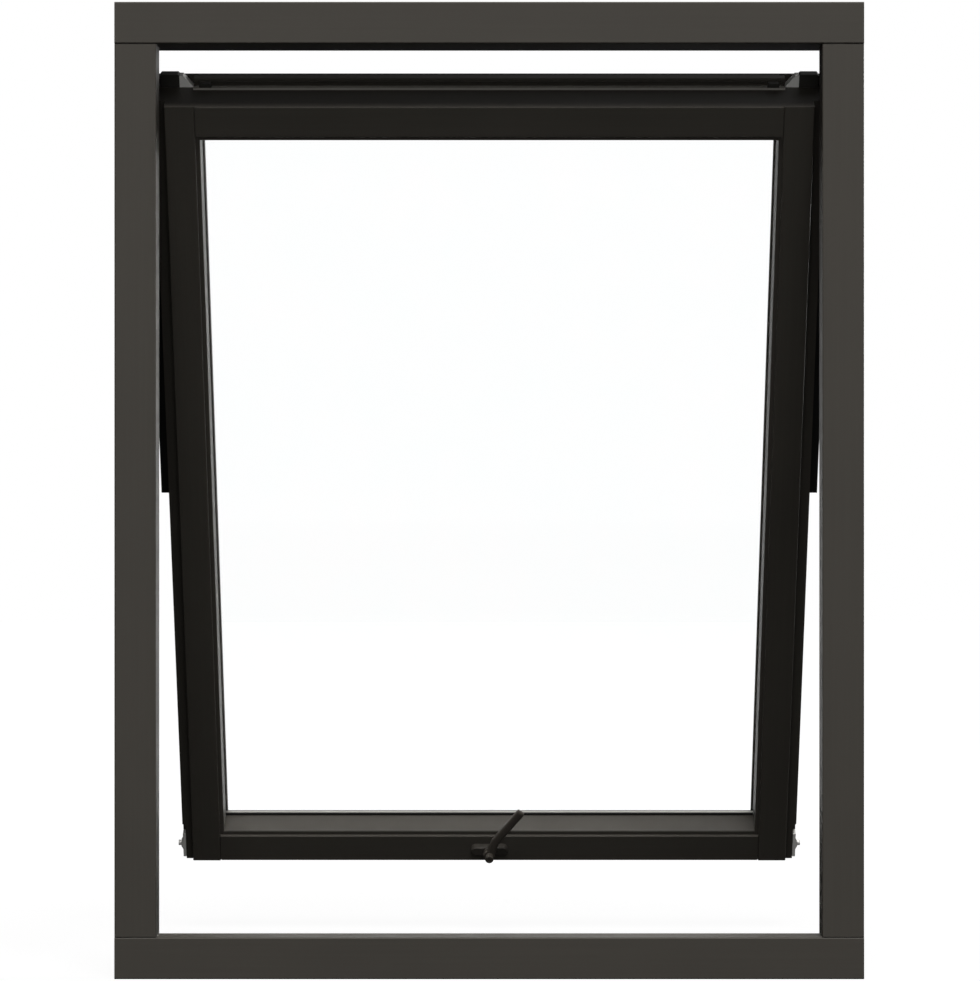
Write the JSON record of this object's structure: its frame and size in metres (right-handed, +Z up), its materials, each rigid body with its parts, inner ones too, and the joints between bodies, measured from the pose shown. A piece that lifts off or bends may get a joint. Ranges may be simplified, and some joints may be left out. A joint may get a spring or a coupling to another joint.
{
  "type": "top-guided window",
  "caption": "Dark-painted top-guided window in its frame: the sash's top slides down in side rails while its bottom swings outward on hinge arms, locked by a lever handle.",
  "frame": {"origin": "middle of the sill's underside, at the middle of the frame's depth", "axes": "+X to the right as seen from indoors, +Y outdoors, +Z up"},
  "size_m": [0.988, 0.6635, 1.288],
  "materials": {
    "frame_paint": "satin paint, dark umber grey",
    "sash_paint": "satin paint, dark umber grey",
    "cladding": "matt powder coat, dark umber grey",
    "glass": "clear float glass",
    "spacer": "mill aluminium",
    "seal": "matt black rubber",
    "block_plastic": "matt black plastic",
    "black_steel": "black coated steel",
    "zinc": "light grey plated metal",
    "rail_metal": "dark anodised aluminium",
    "handle_coat": "dark satin coat",
    "screw_steel": "zinc plated steel"
  },
  "bodies": {
    "frame": {"frame_head": "frame_paint", "frame_sill": "frame_paint", "frame_jamb_left": "frame_paint", "frame_jamb_right": "frame_paint", "head_cladding": "cladding", "sill_cladding": "cladding", "jamb_cladding_left": "cladding", "jamb_cladding_right": "cladding", "guide_rail_left": "rail_metal", "guide_rail_right": "rail_metal", "rail_screws": "screw_steel", "arm_pivot_left": "zinc", "arm_pivot_right": "zinc", "keep_left": "zinc", "keep_right": "zinc", "keep_screws": "screw_steel", "side_seal": "seal"},
    "arm_left": {"hinge_arm_left": "black_steel"},
    "arm_right": {"hinge_arm_right": "black_steel"},
    "sash": {"sash_stile_left": "sash_paint", "sash_stile_right": "sash_paint", "sash_top_rail": "sash_paint", "sash_bottom_rail": "sash_paint", "sash_cladding_top": "cladding", "sash_cladding_bottom": "cladding", "sash_cladding_left": "cladding", "sash_cladding_right": "cladding", "pane_inner": "glass", "pane_outer": "glass", "glass_spacer": "spacer", "glazing_seal_inner": "seal", "glazing_seal_outer": "seal", "setting_blocks": "block_plastic", "top_seal": "seal", "hinge_bar_left": "black_steel", "hinge_bar_right": "black_steel", "hinge_bar_screws": "screw_steel", "top_strip": "spacer", "strip_stops": "block_plastic", "bearing_block_left": "block_plastic", "bearing_block_right": "block_plastic", "corner_bracket_left": "zinc", "corner_bracket_right": "zinc", "drive_gearbox": "zinc", "handle_rose": "handle_coat", "corner_drives": "zinc"},
    "shoe_left": {"guide_shoe_left": "block_plastic"},
    "shoe_right": {"guide_shoe_right": "block_plastic"},
    "handle": {"handle_lever": "handle_coat", "handle_spindle": "zinc"},
    "rod_left": {"drive_rod_left": "zinc"},
    "rod_right": {"drive_rod_right": "zinc"},
    "cam_left": {"lock_cam_left": "zinc"},
    "cam_right": {"lock_cam_right": "zinc"}
  },
  "joints": [
    {"name": "arm_left_swing", "type": "hinge", "parent": "frame", "child": "arm_left", "pos_m": [-0.4669, 0.0515, 0.855], "axis": [-1, 0, 0], "range_deg": [-26.25, 33.75]},
    {"name": "arm_right_swing", "type": "hinge", "parent": "frame", "child": "arm_right", "pos_m": [0.4669, 0.0515, 0.855], "axis": [-1, 0, 0], "range_deg": [-26.25, 33.75]},
    {"name": "sash_swing", "type": "hinge", "parent": "arm_left", "child": "sash", "pos_m": [0, 0.13664, 1.02765], "axis": [1, 0, 0], "range_deg": [-52.5, 67.5]},
    {"name": "shoe_left_tilt", "type": "hinge", "parent": "sash", "child": "shoe_left", "pos_m": [-0.4669, 0.0515, 1.2003], "axis": [-1, 0, 0], "range_deg": [-26.25, 33.75]},
    {"name": "shoe_right_tilt", "type": "hinge", "parent": "sash", "child": "shoe_right", "pos_m": [0.4669, 0.0515, 1.2003], "axis": [-1, 0, 0], "range_deg": [-26.25, 33.75]},
    {"name": "handle_turn", "type": "hinge", "parent": "sash", "child": "handle", "pos_m": [0, 0.48966, 0.12187], "axis": [0, 0.8969, 0.4423], "range_deg": [-37.2, 52.8]},
    {"name": "rod_left_slide", "type": "slide", "parent": "sash", "child": "rod_left", "axis": [-1, 0, 0], "range_m": [-0.00754, 0.01066]},
    {"name": "rod_right_slide", "type": "slide", "parent": "sash", "child": "rod_right", "axis": [1, 0, 0], "range_m": [-0.00754, 0.01066]},
    {"name": "cam_left_slide", "type": "slide", "parent": "sash", "child": "cam_left", "axis": [0, -0.4423, 0.8969], "range_m": [-0.00754, 0.01066]},
    {"name": "cam_right_slide", "type": "slide", "parent": "sash", "child": "cam_right", "axis": [0, -0.4423, 0.8969], "range_m": [-0.00754, 0.01066]}
  ],
  "couplings": [
    {"joint": "arm_left_swing", "follows": "sash_swing", "ratio": 0.5},
    {"joint": "arm_right_swing", "follows": "sash_swing", "ratio": 0.5},
    {"joint": "shoe_left_tilt", "follows": "sash_swing", "ratio": 0.5},
    {"joint": "shoe_right_tilt", "follows": "sash_swing", "ratio": 0.5},
    {"joint": "rod_left_slide", "follows": "handle_turn", "m_per_rad": 0.011459},
    {"joint": "rod_right_slide", "follows": "handle_turn", "m_per_rad": 0.011459},
    {"joint": "cam_left_slide", "follows": "handle_turn", "m_per_rad": 0.011459},
    {"joint": "cam_right_slide", "follows": "handle_turn", "m_per_rad": 0.011459}
  ]
}
